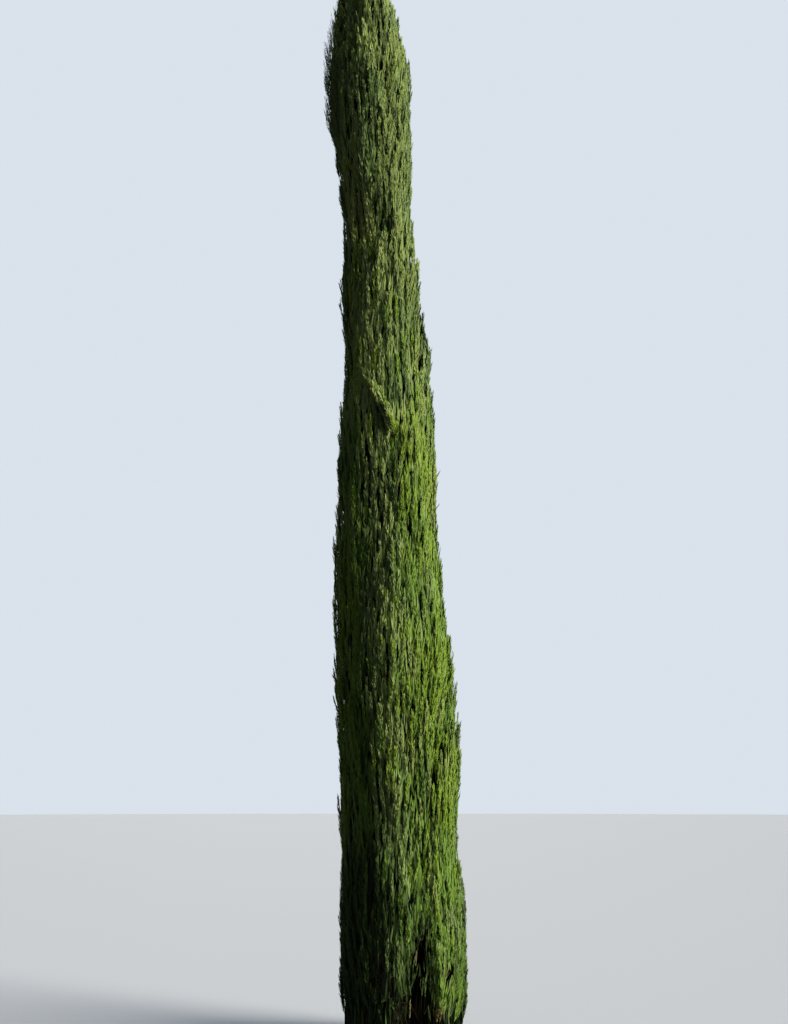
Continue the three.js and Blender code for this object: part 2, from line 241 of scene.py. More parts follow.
def tubes(joined, paths, radii, sides, looks, ridge=0.0, rng=None, close=True):
    """Tapering round limbs along paths (n, k, 3), closed at both ends."""
    n, k, _ = paths.shape
    slope = np.gradient(paths, axis=1)
    slope = unit(slope)
    u, v = basis(slope[:, :1])
    u = unit(u - (u * slope).sum(-1, keepdims=True) * slope)
    v = np.cross(slope, u)
    angle = np.arange(sides) * 2 * math.pi / sides
    r = np.broadcast_to(radii, (n, k))[..., None, None]
    if ridge:
        r = r * (1 + ridge * rng.uniform(-1, 1, (n, k, sides, 1)))
    ring = paths[:, :, None] + r * (
        np.cos(angle)[:, None] * u[:, :, None] + np.sin(angle)[:, None] * v[:, :, None]
    )
    points = ring.reshape(n, k * sides, 3)
    i, j = np.meshgrid(np.arange(k - 1), np.arange(sides), indexing="ij")
    j2 = (j + 1) % sides
    a, b = i * sides + j, i * sides + j2
    c, d = (i + 1) * sides + j2, (i + 1) * sides + j
    tris = np.stack([np.stack([a, b, c], -1), np.stack([a, c, d], -1)], -2).reshape(-1, 3)
    if close:
        caps = [[0, m + 1, m] for m in range(1, sides - 1)]
        last = (k - 1) * sides
        caps += [[last, last + m, last + m + 1] for m in range(1, sides - 1)]
        tris = np.concatenate([tris, np.array(caps)])
    all_tris = tris[None] + (np.arange(n) * k * sides)[:, None, None]
    looks = np.asarray(looks)
    if looks.ndim == 2:  # one for each length between rings
        looks = np.repeat(looks, sides * 2, axis=1).ravel()
    else:
        looks = np.repeat(np.broadcast_to(looks, (n,)), len(tris))
    joined.add(points, all_tris, looks)


def shoots(joined, base, direction, length, radius, looks, face, rng):
    """Pointed shoots in two faces, widest at the foot, with the ridge between them turned broadly outwards."""
    n = len(base)
    across = unit(np.cross(direction, face))
    front = np.cross(across, direction)
    turn = rng.normal(0, 0.5, n)
    ridge = (np.cos(turn)[:, None] * front + np.sin(turn)[:, None] * across) * (0.75 * radius)[:, None]
    half = (np.cos(turn)[:, None] * across - np.sin(turn)[:, None] * front) * (1.15 * radius)[:, None]
    points = np.stack([base - half, base + ridge, base + half, base + direction * length[:, None]], 1)
    tris = np.array([[0, 1, 3], [1, 2, 3]])[None] + (np.arange(n) * 4)[:, None, None]
    joined.add(points, tris, np.repeat(looks, 2))


# Outline of an old spray: distance along it and half width, as shares.
LOBES = [(0.32, 0.5), (0.74, 0.34)]


def old_sprays(joined, base, direction, length, width, looks, rng, face=None):
    """Flat, slightly twisted sprays, turned any way or broadly along a face."""
    n = len(base)
    u, v = basis(direction)
    turn = rng.random(n) * 2 * math.pi
    if face is not None:
        u = unit(np.cross(face, direction))
        v = np.cross(direction, u)
        turn = rng.normal(-0.2, 0.3, n)
    points = [base]
    for i, (along, half) in enumerate(LOBES):
        a = turn + (0.45 if face is None else 0.2) * i
        side = np.cos(a)[:, None] * u + np.sin(a)[:, None] * v
        middle = base + direction * (along * length)[:, None]
        points += [middle - side * (half * width)[:, None], middle + side * (half * width)[:, None]]
    points.append(base + direction * length[:, None])
    tris = [[0, 2, 1], [1, 2, 4], [1, 4, 3], [3, 4, 5]]
    tris = np.array(tris)[None] + (np.arange(n) * 6)[:, None, None]
    joined.add(np.stack(points, 1), tris, np.repeat(looks, 4))


# ---------------------------------------------------------------- the solids that set the shape

MASSES = sorted(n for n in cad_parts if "plume" in n or n == "leaning_sprig")
BOUGHS = sorted(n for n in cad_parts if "bough" in n)
OWNER = {b: b.replace("bough", "plume") for b in BOUGHS}

solid = {n: surface(n) for n in MASSES}
offset, corners, faces, owner = 0, [], [], []
for i, n in enumerate(MASSES):
    co, tri = solid[n]
    corners.append(co)
    faces.append(tri + offset)
    owner += [i] * len(tri)
    offset += len(co)
crown = BVHTree.FromPolygons(np.concatenate(corners).tolist(), np.concatenate(faces).tolist())

trunk_co, trunk_tri = surface("trunk")
trunk_tree = BVHTree.FromPolygons(trunk_co.tolist(), trunk_tri.tolist())
levels = np.unique(np.round(trunk_co[:, 2], 3))
rings = [trunk_co[np.abs(trunk_co[:, 2] - z) < 0.002] for z in levels]
rows = [(z, *r.mean(0)[:2]) for z, r in zip(levels, rings) if len(r) > 6]
TRUNK_Z, TRUNK_X, TRUNK_Y = np.array(rows).T
# The rings' own middles are off by the root lobes, so the foot is set straight.
TRUNK_X[0] = TRUNK_Y[0] = 0.0


def trunk_line(z):
    """The middle of the trunk, run on to the tip of the leader."""
    z = np.asarray(z, float)
    x = np.interp(z, TRUNK_Z, TRUNK_X)
    y = np.interp(z, TRUNK_Z, TRUNK_Y)
    over = np.maximum(z - TRUNK_Z[-1], 0)
    x = x - over * 0.052
    return np.stack([x, y, z], -1)


def trunk_radius(z):
    return 0.006 + 0.074 * (1 - np.clip(np.asarray(z) / 8.18, 0, 1) ** 0.9) + 0.03 * np.exp(-np.asarray(z) / 0.15)


# ---------------------------------------------------------------- finishes

bpy.context.scene.unit_settings.system = "METRIC"


def plain(name, colour, roughness):
    m = bpy.data.materials.new(name)
    m.use_nodes = True
    s = m.node_tree.nodes["Principled BSDF"]
    s.inputs["Base Color"].default_value = (*colour, 1)
    s.inputs["Roughness"].default_value = roughness
    s.inputs["Specular IOR Level"].default_value = 0.12
    return m


LEAVES = [plain("foliage_" + n, c, 0.8 if i in (6, 7, 8, 9) else 0.65) for i, (n, c) in enumerate(GREENS)]
# The darkest twig colour is painted shade, a darker copy of the twig bark for the twigs in the open foot.
TWIGS = [plain("twig_green", srgb(74, 84, 40), 0.8), plain("twig_brown", srgb(72, 57, 42), 0.85), plain("twig_painted_shade", srgb(38, 33, 24), 0.9)]


def bark_material(name, dark, middle_tone, pale):
    """Grey-brown bark that peels in long fibres, with a bump from the same pattern."""
    m = bpy.data.materials.new(name)
    m.use_nodes = True
    t = m.node_tree
    s = t.nodes["Principled BSDF"]
    s.inputs["Specular IOR Level"].default_value = 0.2
    where = t.nodes.new("ShaderNodeTexCoord")
    stretch = t.nodes.new("ShaderNodeMapping")
    stretch.inputs["Scale"].default_value = (1, 1, 0.09)
    t.links.new(where.outputs["Object"], stretch.inputs["Vector"])
    fibre = t.nodes.new("ShaderNodeTexNoise")
    fibre.inputs["Scale"].default_value = 95
    fibre.inputs["Detail"].default_value = 7
    fibre.inputs["Roughness"].default_value = 0.62
    fibre.inputs["Distortion"].default_value = 0.5
    t.links.new(stretch.outputs["Vector"], fibre.inputs["Vector"])
    patch = t.nodes.new("ShaderNodeTexNoise")
    patch.inputs["Scale"].default_value = 9
    patch.inputs["Detail"].default_value = 3
    t.links.new(where.outputs["Object"], patch.inputs["Vector"])
    ramp = t.nodes.new("ShaderNodeValToRGB")
    e = ramp.color_ramp.elements
    e[0].position, e[0].color = 0.30, (*srgb(*dark), 1)
    e[1].position, e[1].color = 0.72, (*srgb(*pale), 1)
    middle = e.new(0.50)
    middle.color = (*srgb(*middle_tone), 1)
    t.links.new(fibre.outputs["Fac"], ramp.inputs["Fac"])
    mix = t.nodes.new("ShaderNodeMix")
    mix.data_type = "RGBA"
    mix.blend_type = "MULTIPLY"
    mix.inputs[0].default_value = 0.55
    tint = t.nodes.new("ShaderNodeValToRGB")
    tint.color_ramp.elements[0].position, tint.color_ramp.elements[0].color = 0.35, (*srgb(150, 120, 100), 1)
    tint.color_ramp.elements[1].position, tint.color_ramp.elements[1].color = 0.65, (1, 1, 1, 1)
    t.links.new(patch.outputs["Fac"], tint.inputs["Fac"])
    t.links.new(ramp.outputs["Color"], mix.inputs[6])
    t.links.new(tint.outputs["Color"], mix.inputs[7])
    t.links.new(mix.outputs[2], s.inputs["Base Color"])
    rough = t.nodes.new("ShaderNodeMapRange")
    rough.inputs["To Min"].default_value = 0.95
    rough.inputs["To Max"].default_value = 0.78
    t.links.new(fibre.outputs["Fac"], rough.inputs["Value"])
    t.links.new(rough.outputs["Result"], s.inputs["Roughness"])
    bump = t.nodes.new("ShaderNodeBump")
    bump.inputs["Strength"].default_value = 0.8
    bump.inputs["Distance"].default_value = 0.004
    t.links.new(fibre.outputs["Fac"], bump.inputs["Height"])
    t.links.new(bump.outputs["Normal"], s.inputs["Normal"])
    return m


BARK = [bark_material("cypress_bark", (62, 49, 40), (106, 88, 74), (148, 132, 116))]
# The branches' bark is a darker copy of the trunk's, painted shade for the wood inside the crown.
BRANCH_BARK_PAINTED_SHADE = [bark_material("branch_bark_painted_shade", (40, 34, 27), (68, 58, 46), (98, 87, 70))]

# ---------------------------------------------------------------- the trunk


def ripple(angle, z, seed):
    """Long wandering ridges and fissures of the bark, from -1 to 1."""
    rng = np.random.default_rng(seed)
    total = 0.0
    for k, strength in ((9, 0.5), (17, 0.8), (26, 0.5)):
        a, b, c, d = rng.random(4) * 6.28
        warp = 1.3 * np.sin(3.1 * z + a) + 0.8 * np.sin(9.7 * z + b + 2 * angle) + 0.35 * np.sin(31 * z + c - 3 * angle)
        total = total + strength * (1 - 2 * np.abs(np.sin((k * angle + warp + d) / 2)) ** 0.7)
    return total / 1.8


def make_trunk():
    sides = 60
    z = np.concatenate([np.arange(0, 0.9, 0.0085), np.arange(0.9, 8.17, 0.045), [8.178]])
    angle = np.arange(sides) * 2 * math.pi / sides
    middle = trunk_line(z)
    points = np.empty((len(z), sides, 3))
    for i in range(len(z)):
        zi = min(max(z[i], 0.001), 8.178)
        for j in range(sides):
            d = Vector((math.cos(angle[j]), math.sin(angle[j]), 0))
            hit = trunk_tree.ray_cast(Vector((middle[i][0], middle[i][1], zi)), d, 0.3)
            r = hit[3] if hit[0] is not None else float(trunk_radius(zi))
            points[i, j] = (middle[i][0] + d.x * r, middle[i][1] + d.y * r, z[i])
    away = points - middle[:, None]
    r = np.linalg.norm(away[..., :2], axis=-1, keepdims=True)
    a2, z2 = np.meshgrid(angle, z)
    relief = ripple(a2, z2, SEED)[..., None]
    depth = np.minimum(0.0042, r * 0.05)
    points[..., :2] += away[..., :2] / r * (relief * depth - 0.3 * depth)
    joined = Joined()
    k = len(z)
    i, j = np.meshgrid(np.arange(k - 1), np.arange(sides), indexing="ij")
    j2 = (j + 1) % sides
    a, b, c, d = i * sides + j, i * sides + j2, (i + 1) * sides + j2, (i + 1) * sides + j
    tris = np.stack([np.stack([a, b, c], -1), np.stack([a, c, d], -1)], -2).reshape(-1, 3)
    foot, tip = k * sides, k * sides + 1
    ring = np.arange(sides)
    caps = np.concatenate([
        np.stack([np.full(sides, foot), (ring + 1) % sides, ring], -1),
        np.stack([np.full(sides, tip), (k - 1) * sides + ring, (k - 1) * sides + (ring + 1) % sides], -1),
    ])
    ends = np.array([[0, 0, 0], [*trunk_line(8.186)[:2], 8.186]])
    joined.add(np.concatenate([points.reshape(-1, 3), ends]), np.concatenate([tris, caps]), 0)
    return joined.build("trunk_bark", BARK, ["trunk"])


make_trunk()

# ---------------------------------------------------------------- the line of each plume


def plume_line(name, rng):
    """Heights and middles of a solid, from its foot to its tip."""
    co, tri = solid[name]
    p, _, _ = scatter(co, tri, 6000, rng)
    low, high = co[:, 2].min(), co[:, 2].max()
    z = np.linspace(low, high, 20)
    step = z[1] - z[0]
    middles = []
    for zi in z:
        near = np.abs(p[:, 2] - zi) < step * 0.75
        middles.append(p[near].mean(0)[:2] if near.sum() > 8 else [np.nan, np.nan])
    middles = np.array(middles)
    for k in range(2):
        good = ~np.isnan(middles[:, k])
        middles[:, k] = np.interp(z, z[good], middles[good, k])
    middles[0] = co[co[:, 2].argmin()][:2]
    middles[-1] = co[co[:, 2].argmax()][:2]
    smooth = middles.copy()
    for _ in range(3):
        smooth[1:-1] = (smooth[:-2] + 2 * smooth[1:-1] + smooth[2:]) / 4
    return z, np.column_stack([smooth, z])


def limb_line(node, entry):
    """The middle line of a bough's solid, from the trunk to the end that meets its plume."""
    co, tri = surface(node)
    rng = np.random.default_rng(5)
    p, _, _ = scatter(co, tri, 1500, rng)
    start = co[np.linalg.norm(co[:, :2] - trunk_line(co[:, 2])[:, :2], axis=1).argmin()]
    far = np.linalg.norm(p - start, axis=1)
    cuts = np.quantile(far, [0.0, 0.2, 0.4, 0.6, 0.8, 1.0])
    line, radius = [], []
    for a, b in zip(cuts[:-1], cuts[1:]):
        inside = p[(far >= a) & (far <= b)]
        line.append(inside.mean(0))
        spread_ = inside - inside.mean(0)
        radius.append(np.sqrt(np.sort(np.linalg.eigvalsh(spread_.T @ spread_ / len(inside)))[1] * 2))
    return np.array(line), float(np.median(radius))


def through(points, count):
    """A smooth line of count points through a few."""
    points = np.asarray(points, float)
    d = np.concatenate([[0], np.cumsum(np.linalg.norm(np.diff(points, axis=0), axis=1))])
    t = np.linspace(0, d[-1], count)
    out = np.column_stack([np.interp(t, d, points[:, k]) for k in range(3)])
    for _ in range(4):
        out[1:-1] = (out[:-2] + 2 * out[1:-1] + out[2:]) / 4
    return out


wood_nodes = {}  # for each plume, points of the wood that strands can leave from


def grow_wood(mass, bough, index):
    """The bough from the trunk through its plume, and the branches off it."""
    rng = np.random.default_rng(SEED * 1000 + index)
    z, axis = plume_line(mass, rng)
    low, high = z[0], z[-1]
    if bough:
        line, radius = limb_line(bough, axis)
        root = trunk_line(line[0][2] - 0.012)
        root = root + (line[0] - root) * 0.35
        entry = line[-1]
        inside = axis[(z > entry[2] + 0.12) & (z < low + (high - low) * 0.93)]
        main = through([root, *line, *inside], 46)
        first, last = radius * 1.12, 0.0016
    elif mass == "leader_plume":
        top = trunk_line(np.linspace(max(low, 6.85), 8.15, 10))
        end = np.array([*(0.3 * axis[-1][:2] + 0.7 * trunk_line(8.5)[:2]), high - 0.05])
        main = through([*top, end], 46)
        radius, first, last = 0.012, 0.013, 0.0012
    else:  # the sprig: its own twig from the plumes behind it
        a, b = axis[0], axis[-1]
        back = trunk_line(a[2] - 0.42)
        main = through([back + (a - back) * 0.55, a + np.array([0.0, 0.11, -0.05]), *axis[1:-2]], 46)
        radius, first, last = 0.006, 0.0065, 0.0014
    grow = np.linspace(0, 1, len(main))
    radii = first * (1 - grow) ** 0.8 + last
    joined = Joined()
    tubes(joined, main[None], radii[None], 8, 0, ridge=0.07, rng=rng)

    # Branches: golden angle round the bough, each rising steeply to just under the surface.
    co, tri = solid[mass]
    own = BVHTree.FromPolygons(co.tolist(), tri.tolist())
    count = max(8, int(round((high - low) * 11)))
    starts, bends, ends = [], [], []
    k0 = int(len(main) * (0.2 if bough else 0.04))
    for k in range(count):
        at = k0 + (len(main) * 0.93 - k0) * (k / count) ** 0.9
        start = main[int(at)]
        angle = k * GOLDEN + index
        rise = rng.uniform(0.22, 0.48) * (1 - 0.4 * k / count)
        level = min(start[2] + rise, high - 0.06)
        if level < start[2] + 0.06:
            continue
        centre = np.array([np.interp(level, z, axis[:, 0]), np.interp(level, z, axis[:, 1]), level])
        d = np.array([math.cos(angle), math.sin(angle), 0])
        hit = own.ray_cast(Vector(centre), Vector(d), 1.0)
        room = hit[3] if hit[0] is not None else 0.05
        end = centre + d * max(0.012, room - rng.uniform(0.035, 0.06))
        starts.append(start)
        ends.append(end)
        bends.append(start + (end - start) * np.array([0.62, 0.62, 0.34]))
    s, b, e = map(np.array, (starts, bends, ends))
    t = np.linspace(0, 1, 7)
    paths = bezier(s, b, e, t)
    size = np.interp(np.arange(len(s)) / len(s), [0, 1], [0.42, 0.7])[:, None]
    base_radius = np.interp(s[:, 2], np.linspace(main[0][2], main[-1][2], 46), radii)[:, None]
    branch_radii = np.clip(base_radius * size, 0.0018, 0.008) * (1 - 0.75 * t)
    tubes(joined, paths, branch_radii, 5, 0, ridge=0.06, rng=rng)
    name = (bough or mass.replace("plume", "branches").replace("sprig", "sprig_stem")) + "_wood"
    joined.build(name, BRANCH_BARK_PAINTED_SHADE, [bough] if bough else [])
    wood_nodes[mass] = np.concatenate([main[k0:], paths[:, 1:].reshape(-1, 3)])
    return z, axis


lines = {}
for index, mass in enumerate(MASSES):
    bough = next((b for b in BOUGHS if OWNER[b] == mass), None)
    lines[mass] = grow_wood(mass, bough, index)

# ---------------------------------------------------------------- where strands grow


def round_trunk(p):
    """The outward direction and the angle of points about the trunk's line."""
    out = p - trunk_line(p[:, 2])
    out[:, 2] = 0
    return unit(out), np.degrees(np.arctan2(out[:, 1], out[:, 0]))


def turn_between(a, b):
    return (np.asarray(a) - b + 180) % 360 - 180


def groove_at(p, angle):
    """1 in a groove, where the colour gets painted shade, 0 away from it."""
    depth = np.zeros(len(p))
    reach = np.linalg.norm(p[:, :2] - trunk_line(p[:, 2])[:, :2], axis=1)
    for a, z0, z1, half in GROOVES:
        sideways = np.radians(np.abs(turn_between(angle, a))) * reach
        along = np.clip(np.minimum(p[:, 2] - z0 + 0.06, z1 + 0.06 - p[:, 2]) / 0.12, 0, 1)
        depth = np.maximum(depth, along * np.clip(1.5 - sideways / half, 0, 1))
    return depth


def hollow_at(p, angle):
    """1 in the open foot, which narrows to a point at its top, and 0 away from it."""
    inside = np.zeros(len(p))
    for a, half, top in HOLLOWS:
        arch = half * np.sqrt(np.clip((top - p[:, 2]) / (0.7 * top), 0, 1))
        inside = np.maximum(inside, np.clip((arch - np.abs(turn_between(angle, a))) / 4 + 0.5, 0, 1) * (p[:, 2] < top))
    return inside


def swell_at(p, angle):
    """How far the foliage stands out past the solid where the crown is fuller."""
    far = np.zeros(len(p))
    for a, level, half in SWELL:
        here = ease((45 - np.abs(turn_between(angle, a))) / 25) * ease(1.5 - 1.5 * np.abs(p[:, 2] - level) / half)
        far = np.maximum(far, 0.018 * here)
    return far


def exposure(name, p, n):
    """How much each point of a plume's surface shows from outside, from 0 to 1."""
    out, _ = round_trunk(p)
    me = MASSES.index(name)
    seen = np.ones(len(p))
    facing = (n * out).sum(1)
    if name == "loose_plume":  # its upper part stands free of the crown
        facing = np.where(p[:, 2] > 6.85, np.maximum(facing, 0.35), facing)
    for i in range(len(p)):
        if facing[i] < -0.25:
            seen[i] = 0
            continue
        start = Vector(p[i] + n[i] * 0.0015)
        hit = crown.ray_cast(start, Vector(n[i]), 0.3)
        if hit[0] is not None and owner[hit[2]] != me:
            seen[i] *= min(max((hit[3] - 0.012) / 0.1, 0), 1)
        hit = crown.ray_cast(start, Vector(unit(out[i] + n[i] * 0.4)), 0.5)
        if hit[0] is not None and owner[hit[2]] != me:
            seen[i] *= min(max((hit[3] - 0.02) / 0.2, 0), 0.8)
    seen *= np.clip(facing * 0.9 + 0.45, 0.05, 1)
    return np.where(facing > -0.15, np.maximum(seen, 0.4), seen)


def depth_in(p):
    """How far inside the whole crown points lie, by the shortest of four ways out to the side."""
    out, _ = round_trunk(p)
    side = np.cross(out, UP)
    depth = np.full(len(p), 9.0)
    for d in (out, unit(out + side), unit(out - side), unit(out + 0.8 * UP)):
        far = p + d * 1.5
        for i in np.flatnonzero(depth > 0):
            hit = crown.ray_cast(Vector(far[i]), Vector(-d[i]), 1.5)
            depth[i] = min(depth[i], 1.5 - hit[3] if hit[0] is not None else 0.0)
    return depth


def inside_crown(base, direction, length, width, need):
    """Whether flat sprays lie inside the crown along their whole outline."""
    side, other = basis(direction)
    ok = np.ones(len(base), bool)
    for along, half, lateral in (
        (1.0, 0.0, side), (0.0, 0.0, side), (0.3, 0.5, side), (0.3, -0.5, side), (0.3, 0.5, other), (0.3, -0.5, other)
    ):
        at = np.flatnonzero(ok)
        p = base[at] + direction[at] * (along * length[at])[:, None] + lateral[at] * (half * width[at])[:, None]
        ok[at] = depth_in(p) > need
    return ok


rng0 = np.random.default_rng(SEED)
places = {}
for name in MASSES:
    co, tri = solid[name]
    _, _, area = scatter(co, tri, 10, rng0)
    count = int(area * 900) + 60
    p, n, area = scatter(co, tri, count, rng0)
    seen = exposure(name, p, n)
    _, angle = round_trunk(p)
    seen *= 1 - 0.8 * groove_at(p, angle)
    shown = seen.sum() / count * area
    keep = seen > np.maximum(rng0.random(count) * 0.9, 0.12)
    places[name] = (p[keep], n[keep], shown, np.zeros(keep.sum(), bool))


def bridges():
    """Places between plumes where the surface dips, lifted towards the plumes on both sides."""
    turns = np.radians(np.arange(-180, 180, 3.0))
    heights = np.arange(0.30, 8.0, 0.04)
    reach = np.zeros((len(heights), len(turns)))
    who = np.full(reach.shape, -1)
    for i, z in enumerate(heights):
        middle = trunk_line(z)
        for j, a in enumerate(turns):
            d = np.array([math.cos(a), math.sin(a), 0.0])
            hit = crown.ray_cast(Vector(middle + d * 1.2), Vector(-d), 1.2)
            if hit[0] is not None:
                reach[i, j] = 1.2 - hit[3]
                who[i, j] = owner[hit[2]]
    typical = np.median(reach, axis=1)
    level = np.zeros_like(reach)
    at_front = (turns > math.radians(-155)) & (turns < math.radians(-10))
    for i in range(len(heights)):
        for half, zone in ((BRIDGE["front"], at_front), (BRIDGE["back"], ~at_front)):
            steps = int(np.clip(round(half / max(typical[i], 0.05) / math.radians(3.0)), 3, 13))
            before = np.max([np.roll(reach[i], k) for k in range(steps + 1)], axis=0)
            after = np.max([np.roll(reach[i], -k) for k in range(steps + 1)], axis=0)
            level[i] = np.where(zone, np.minimum(before, after), level[i])
    for i in range(len(heights)):
        below = reach[max(i - 4, 0) : i + 1].max(0)
        above = reach[i : i + 5].max(0)
        level[i] = np.maximum(level[i], np.minimum(below, above))
    dip = level - reach
    found = {n: ([], 0.0) for n in MASSES}
    rng = np.random.default_rng(SEED + 21)
    for i, j in np.argwhere((dip > BRIDGE["least"]) & (who >= 0).any(1)[:, None]):
        there = np.flatnonzero(who[i] >= 0)  # a gap right through belongs to the plume beside it
        n = MASSES[who[i, there[np.abs((there - j + 60) % 120 - 60).argmin()]]]
        if n == "leaning_sprig":
            continue
        spots, size = found[n]
        for _ in range(3 if dip[i, j] > 0.05 else 2):
            a = turns[j] + math.radians(rng.uniform(-1.5, 1.5))
            z = heights[i] + rng.uniform(-0.02, 0.02)
            r = level[i, j] - min(dip[i, j], BRIDGE["deepest"]) * rng.uniform(0.05, 0.45) - 0.004
            spots.append(trunk_line(z) + r * np.array([math.cos(a), math.sin(a), 0.0]))
        found[n] = (spots, size + level[i, j] * math.radians(3.0) * 0.04)
    return found


lifted_spots = {}
for name, (spots, size) in bridges().items():
    if not spots:
        continue
    spots = np.array(spots)
    out, angle = round_trunk(spots)
    keep = rng0.random(len(spots)) > np.maximum(0.9 * groove_at(spots, angle), 0.97 * hollow_at(spots, angle))
    p, n, shown, lifted = places[name]
    share = keep.mean()
    lifted_spots[name] = (spots[keep], out[keep])
    lifted = np.concatenate([lifted, np.ones(keep.sum(), bool)])
    places[name] = (np.concatenate([p, spots[keep]]), np.concatenate([n, out[keep]]), shown + size * share, lifted)

DENSITY = {"loose_plume": 1.6, "leaning_sprig": 2.4, "leader_plume": 1.15}
total = sum(shown * DENSITY.get(n, 1.0) for n, (_, _, shown, _) in places.items())
STRANDS = YOUNG_TRIANGLES / (STRAND["sprays"] * (SPRAY["shoots"] + 1) * 2)
print(f"crown surface that shows {total:.2f} m2, strands {STRANDS:.0f}, {STRANDS / total:.0f} to the square metre")

# ---------------------------------------------------------------- strands, twigs and sprays

PLUME_TINT = {n: t for n, t in zip(MASSES, np.random.default_rng(SEED + 3).uniform(-0.8, 0.8, len(MASSES)))}
# The loose plume is set darker, as painted shade on the shaded upper left; the leaning sprig lighter, as painted light
# where it stands out in the key light.
PLUME_TINT["loose_plume"] = 1.4
PLUME_TINT["leaning_sprig"] = -2.6


def drift(p):
    """A slow change of colour over the crown, about -1 to 1."""
    x, y, z = p.T
    return np.sin(5.1 * x + 2.3 * z + 0.4) * np.cos(4.3 * y - 1.7 * z) + 0.5 * np.sin(9.0 * z + 6 * x)


def tone_at(name, p, angle):
    """The colour number for a place: by plume and by drift, with painted shade in grooves, at the foot, in the fold and
    on the shaded left, and painted light and shade by side where the key light falls.
    """
    # Painted shade: darker colour numbers on the left, away from the key light, from 1.8 m down, more under 0.4 m at
    # the front left, and a little darker towards the bottom all round.
    left = np.clip((np.abs(turn_between(angle, -150)) * -1 + 75) / 25, 0, 1)
    foot = 1.25 * ease((1.8 - p[:, 2]) / 1.0) * left
    foot = foot + 1.0 * ease((0.40 - p[:, 2]) / 0.2) * np.clip((-62 - angle) / 10, 0, 1) + 0.25 * ease((1.5 - p[:, 2]) / 0.8)
    # Painted light: the upper crown gets lighter colour numbers further round to the left, where the key light reaches
    # further round.
    foot = foot - 0.9 * ease((35 - np.abs(turn_between(angle, -128))) / 20) * ease((p[:, 2] - 4.0) / 0.6) * ease((6.6 - p[:, 2]) / 0.4)
    # Painted shade by side: darker round 50 degrees and on the upper front right round -20 degrees, where the key light
    # falls full, and darker on the shaded left below 6.2 m, at the front foot, and along the shade's edge round -117
    # degrees below 4 m.
    foot = foot + 1.1 * ease((85 - np.abs(turn_between(angle, 50))) / 60)
    foot = foot + 0.3 * ease((70 - np.abs(turn_between(angle, -20))) / 40) * ease((p[:, 2] - 4.0) / 0.8)
    foot = foot + 0.3 * ease((40 - np.abs(turn_between(angle, -150))) / 10) * ease((6.2 - p[:, 2]) / 0.6)
    foot = foot + 0.20 * ease((30 - np.abs(turn_between(angle, -90))) / 10) * ease((0.95 - p[:, 2]) / 0.3)
    foot = foot + 0.5 * ease((18 - np.abs(turn_between(angle, -117))) / 8) * ease((4.0 - p[:, 2]) / 0.3)
    # Painted shade in the fold where the loose plume meets the column, and a duller right flank at the foot.
    fold = ease((15 - np.abs(turn_between(angle, -100))) / 9) * ease((p[:, 2] - 5.85) / 0.25) * ease((7.1 - p[:, 2]) / 0.3)
    foot = foot + 1.0 * fold + 0.6 * ease((38 - np.abs(turn_between(angle, -12))) / 20) * ease((1.0 - p[:, 2]) / 0.3)
    return 2.8 + PLUME_TINT[name] * 0.45 + drift(p) * 0.45 + groove_at(p, angle) * 2.4 + 2.2 * foot


def dried(look, p, angle, rng):
    """Colour numbers, some of them changed to the drier family by height and by side, and some along the edge of the
    shade to the lighter grey-green family, which is painted light.
    """
    share = 0.10 + 0.82 * ease((p[:, 2] - 2.5) / 3.6) + 0.18 * np.clip(1 - np.abs(turn_between(angle, -25)) / 70, 0, 1)
    more = (-1,) + (1,) * (look.ndim - 1)
    dry = (rng.random(len(look)) < share).reshape(more)
    look = np.where(dry & (look < 6), look + DRY, look)
    # Painted light: round -98 degrees, along the edge of the shade, most green sprays change to the lighter grey-green
    # family.
    grey = (rng.random(len(look)) < 0.7 * ease((28 - np.abs(turn_between(angle, -98))) / 14)).reshape(more)
    return np.where(grey & (look % DRY < 6), PAINTED_EDGE_LIGHT + np.clip(look % DRY - 2, 0, 2), look)


